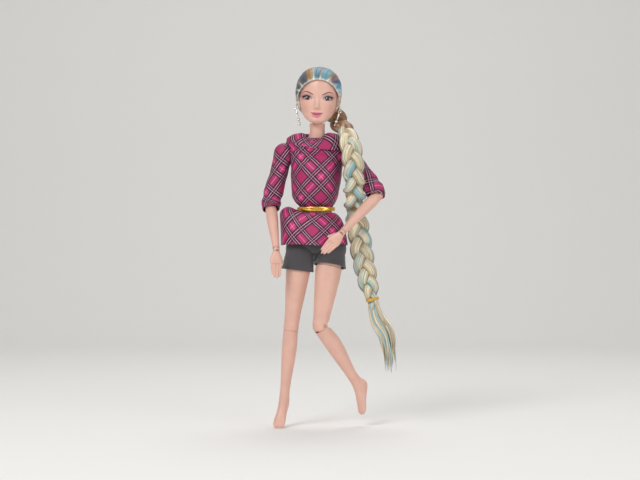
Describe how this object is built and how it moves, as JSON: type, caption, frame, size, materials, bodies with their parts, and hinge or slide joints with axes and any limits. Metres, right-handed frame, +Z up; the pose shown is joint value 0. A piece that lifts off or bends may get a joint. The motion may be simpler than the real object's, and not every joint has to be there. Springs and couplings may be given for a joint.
{
  "type": "fashion doll",
  "caption": "Jointed fashion doll with a side braid, a belted plaid blouse, dark shorts and bare feet; limbs, wrists, elbows, knees and neck all turn.",
  "frame": {"origin": "middle of the waist, under the belt", "axes": "+Z up along the trunk, -Y the way the chest faces, +X to the doll's left"},
  "size_m": [0.1087, 0.0524, 0.2932],
  "materials": {
    "body_skin": "moulded, satin",
    "face_skin": "soft vinyl, satin, painted face",
    "soft_skin": "soft vinyl, satin",
    "joint_plastic": "moulded, smooth",
    "hair": "rooted fibre, glossy, golden brown with pale and teal streaks",
    "hair_blonde": "fibre, glossy, pale blonde",
    "hair_teal": "fibre, glossy, pale teal",
    "gold_elastic": "thin yellow-gold elastic",
    "silver_plating": "plated, with faceted clear stones",
    "plaid_satin": "magenta woven plaid on the bias, soft sheen",
    "charcoal_knit": "matte charcoal knit",
    "gold_belt": "yellow-gold vinyl",
    "gold_buckle": "plated gold, glossy"
  },
  "bodies": {
    "trunk": {"torso_front_shell": "body_skin", "torso_back_shell": "body_skin", "hip_axle": "joint_plastic", "braid_strand_1": "hair_blonde", "braid_strand_2": "hair_teal", "braid_strand_3": "hair_blonde", "braid_elastic": "gold_elastic", "braid_tail": "hair_blonde", "blouse_bodice": "plaid_satin", "blouse_collar": "plaid_satin", "blouse_peplum": "plaid_satin", "shorts_seat": "charcoal_knit", "belt_band": "gold_belt", "belt_buckle": "gold_buckle"},
    "head": {"head": "face_skin", "hair_cap": "hair", "right_earring_stud": "silver_plating", "left_earring_stud": "silver_plating"},
    "right_earring": {"right_earring_drop": "silver_plating"},
    "left_earring": {"left_earring_drop": "silver_plating"},
    "neck_ball": {"neck_knob": "body_skin"},
    "right_hand_body": {"right_hand": "soft_skin"},
    "right_wrist": {"right_wrist_link": "body_skin", "right_wrist_pin": "joint_plastic"},
    "right_forearm_body": {"right_forearm": "body_skin"},
    "right_elbow": {"right_elbow_link": "body_skin", "right_elbow_pin": "joint_plastic"},
    "right_upper_arm_body": {"right_upper_arm": "body_skin", "right_sleeve": "plaid_satin"},
    "right_shoulder": {"right_shoulder_disc": "body_skin", "right_shoulder_pin": "joint_plastic"},
    "left_hand_body": {"left_hand": "soft_skin"},
    "left_wrist": {"left_wrist_link": "body_skin", "left_wrist_pin": "joint_plastic"},
    "left_forearm_body": {"left_forearm": "body_skin"},
    "left_elbow": {"left_elbow_link": "body_skin", "left_elbow_pin": "joint_plastic"},
    "left_upper_arm_body": {"left_upper_arm": "body_skin", "left_sleeve": "plaid_satin"},
    "left_shoulder": {"left_shoulder_disc": "body_skin", "left_shoulder_pin": "joint_plastic"},
    "right_shin_body": {"right_shin_and_foot": "body_skin"},
    "right_thigh_body": {"right_thigh": "body_skin", "right_knee_pin": "joint_plastic"},
    "right_thigh_top": {"right_thigh_cap": "body_skin", "right_hip_pin": "joint_plastic", "right_shorts_leg": "charcoal_knit"},
    "right_hip": {"right_hip_disc": "body_skin"},
    "left_shin_body": {"left_shin_and_foot": "body_skin"},
    "left_thigh_body": {"left_thigh": "body_skin", "left_knee_pin": "joint_plastic"},
    "left_thigh_top": {"left_thigh_cap": "body_skin", "left_hip_pin": "joint_plastic", "left_shorts_leg": "charcoal_knit"},
    "left_hip": {"left_hip_disc": "body_skin"}
  },
  "joints": [
    {"name": "neck_turn", "type": "hinge", "parent": "trunk", "child": "neck_ball", "pos_m": [0.001, 0, 0.0724], "axis": [0, 0, 1], "range_deg": [-45, 45], "deforming": ["braid_strand_1", "braid_strand_2", "braid_strand_3", "braid_elastic", "braid_tail"]},
    {"name": "neck_nod", "type": "hinge", "parent": "neck_ball", "child": "head", "pos_m": [0.001, 0, 0.0724], "axis": [1, 0, 0], "range_deg": [-14, 5]},
    {"name": "right_earring_swing", "type": "hinge", "parent": "head", "child": "right_earring", "pos_m": [-0.01651, 0.0016, 0.0813], "axis": [0, 1, 0], "range_deg": [-15, 15]},
    {"name": "left_earring_swing", "type": "hinge", "parent": "head", "child": "left_earring", "pos_m": [0.01934, 0.0016, 0.07942], "axis": [0, 1, 0], "range_deg": [-15, 15]},
    {"name": "right_shoulder_swing", "type": "hinge", "parent": "trunk", "child": "right_shoulder", "pos_m": [-0.026, 0, 0.045], "axis": [1, 0, 0], "range_deg": [-100, 6]},
    {"name": "right_shoulder_raise", "type": "hinge", "parent": "right_shoulder", "child": "right_upper_arm_body", "pos_m": [-0.026, 0, 0.045], "axis": [0, 0.9925, 0.1219], "range_deg": [-6, 70], "deforming": ["right_sleeve"]},
    {"name": "right_elbow_swivel", "type": "hinge", "parent": "right_upper_arm_body", "child": "right_elbow", "pos_m": [-0.03735, 0.00505, 0.00383], "axis": [0.2639, -0.1175, 0.9574], "range_deg": [-60, 12]},
    {"name": "right_elbow_bend", "type": "hinge", "parent": "right_elbow", "child": "right_forearm_body", "pos_m": [-0.03735, 0.00505, 0.00383], "axis": [0.8677, 0.4625, -0.1824], "range_deg": [-43, 46]},
    {"name": "right_wrist_turn", "type": "hinge", "parent": "right_forearm_body", "child": "right_wrist", "pos_m": [-0.03184, -0.01988, -0.03322], "axis": [-0.1223, 0.5541, 0.8234], "range_deg": [-60, 60]},
    {"name": "right_wrist_bend", "type": "hinge", "parent": "right_wrist", "child": "right_hand_body", "pos_m": [-0.03184, -0.01988, -0.03322], "axis": [0.9489, 0.3085, -0.0667], "range_deg": [-40, 15]},
    {"name": "left_shoulder_swing", "type": "hinge", "parent": "trunk", "child": "left_shoulder", "pos_m": [0.026, 0, 0.045], "axis": [1, 0, 0], "range_deg": [-100, 6]},
    {"name": "left_shoulder_raise", "type": "hinge", "parent": "left_shoulder", "child": "left_upper_arm_body", "pos_m": [0.026, 0, 0.045], "axis": [0, 0.9603, -0.279], "range_deg": [-50, 10], "deforming": ["left_sleeve"]},
    {"name": "left_elbow_swivel", "type": "hinge", "parent": "left_upper_arm_body", "child": "left_elbow", "pos_m": [0.04986, -0.00998, 0.01065], "axis": [-0.5548, 0.2321, 0.7989], "range_deg": [-10, 79]},
    {"name": "left_elbow_bend", "type": "hinge", "parent": "left_elbow", "child": "left_forearm_body", "pos_m": [0.04986, -0.00998, 0.01065], "axis": [0.153, -0.9154, 0.3722], "range_deg": [-15, 74]},
    {"name": "left_wrist_turn", "type": "hinge", "parent": "left_forearm_body", "child": "left_wrist", "pos_m": [0.02107, -0.02703, -0.01945], "axis": [0.6397, 0.3789, 0.6687], "range_deg": [-40, 40]},
    {"name": "left_wrist_bend", "type": "hinge", "parent": "left_wrist", "child": "left_hand_body", "pos_m": [0.02107, -0.02703, -0.01945], "axis": [0.7289, -0.0232, -0.6842], "range_deg": [-30, 8]},
    {"name": "right_hip_swing", "type": "hinge", "parent": "trunk", "child": "right_hip", "pos_m": [-0.0125, 0, -0.033], "axis": [1, 0, 0], "range_deg": [-80, 20], "deforming": ["right_shorts_leg", "blouse_peplum", "shorts_seat"]},
    {"name": "right_hip_spread", "type": "hinge", "parent": "right_hip", "child": "right_thigh_top", "pos_m": [-0.0125, 0, -0.033], "axis": [0, 0.9995, -0.0314], "range_deg": [-6, 22]},
    {"name": "right_thigh_twist", "type": "hinge", "parent": "right_thigh_top", "child": "right_thigh_body", "pos_m": [-0.0125, 0, -0.033], "axis": [0.1219, 0.0312, 0.9921], "range_deg": [-35, 35]},
    {"name": "right_knee_bend", "type": "hinge", "parent": "right_thigh_body", "child": "right_shin_body", "pos_m": [-0.0203, -0.00199, -0.09649], "axis": [0.9709, -0.2116, -0.1126], "range_deg": [-6, 84]},
    {"name": "left_hip_swing", "type": "hinge", "parent": "trunk", "child": "left_hip", "pos_m": [0.0125, 0, -0.033], "axis": [1, 0, 0], "range_deg": [-25, 20], "deforming": ["left_shorts_leg"]},
    {"name": "left_hip_spread", "type": "hinge", "parent": "left_hip", "child": "left_thigh_top", "pos_m": [0.0125, 0, -0.033], "axis": [0, 0.9789, -0.2045], "range_deg": [-20, 3]},
    {"name": "left_thigh_twist", "type": "hinge", "parent": "left_thigh_top", "child": "left_thigh_body", "pos_m": [0.0125, 0, -0.033], "axis": [0.1426, 0.2024, 0.9689], "range_deg": [-26, 49]},
    {"name": "left_knee_bend", "type": "hinge", "parent": "left_thigh_body", "child": "left_shin_body", "pos_m": [0.00337, -0.01295, -0.09501], "axis": [0.5818, -0.8091, 0.0834], "range_deg": [-49, 41]}
  ]
}
